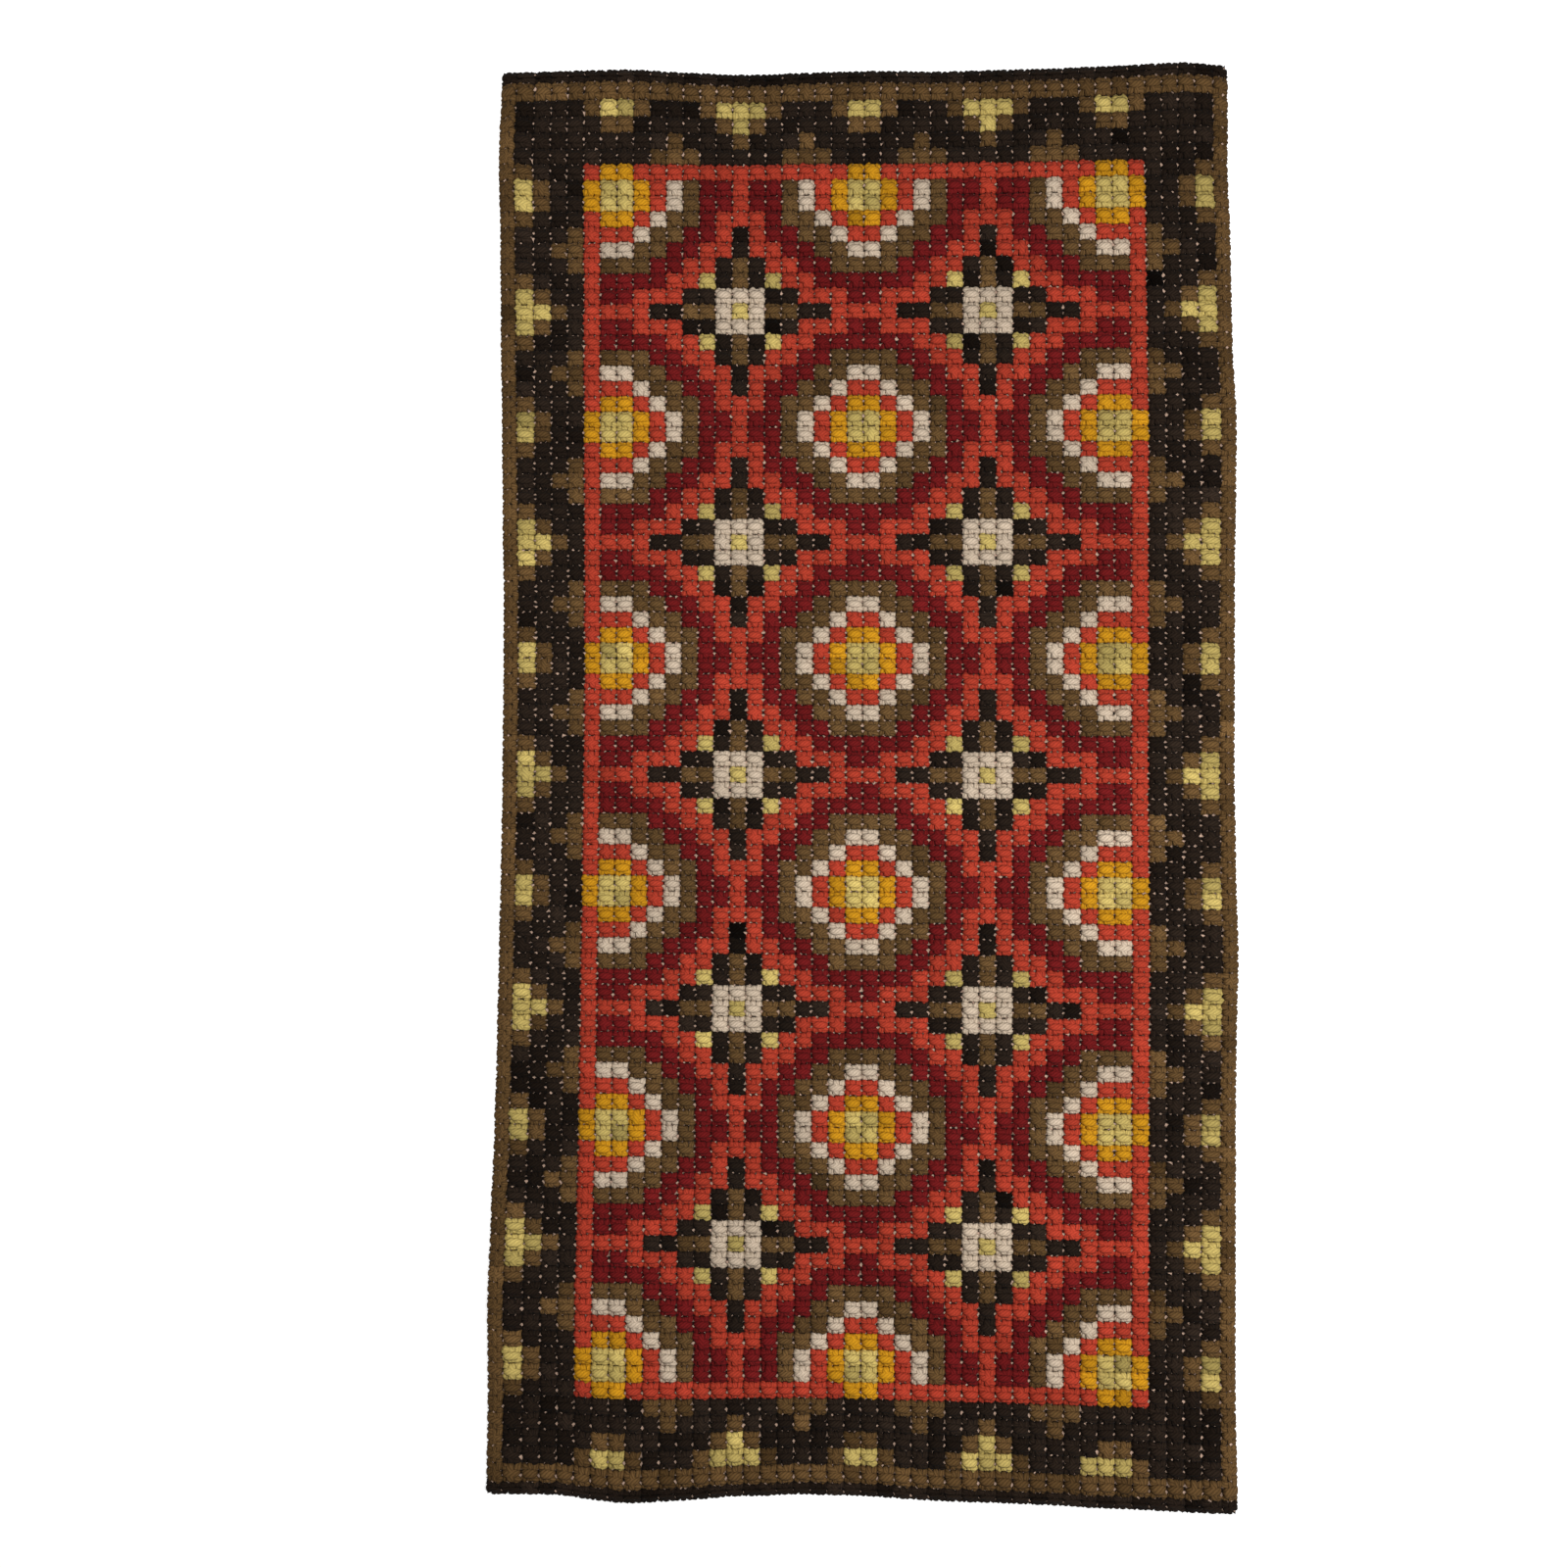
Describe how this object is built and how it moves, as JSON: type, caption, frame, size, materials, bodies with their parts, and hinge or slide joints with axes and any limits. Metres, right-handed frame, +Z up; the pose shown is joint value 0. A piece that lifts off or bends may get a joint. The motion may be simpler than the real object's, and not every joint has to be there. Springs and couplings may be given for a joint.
{
  "type": "embroidered tapestry",
  "caption": "Flat rectangular wool-stitched tapestry on canvas, lying face up, with stepped rosettes and cross stars in a framed field, a toothed dark border and rolled edges.",
  "frame": {"origin": "on the surface it lies on, under the middle of the cloth's bounding box", "axes": "+Z up, out of the stitched face; +Y along the length towards the upper end of the design; +X to the right of the design seen face on"},
  "size_m": [0.302, 0.5862, 0.0074],
  "materials": {
    "stitched_wool": "matt wool stitching",
    "canvas": "plain double-thread cotton canvas",
    "charcoal_wool": "matt wool yarn",
    "brown_wool": "matt wool yarn",
    "straw_wool": "matt wool yarn",
    "gold_wool": "matt wool yarn",
    "poppy_wool": "matt wool yarn",
    "garnet_wool": "matt wool yarn",
    "white_wool": "matt wool yarn"
  },
  "bodies": {
    "root": {"embroidered_cloth": "stitched_wool"}
  },
  "joints": []
}
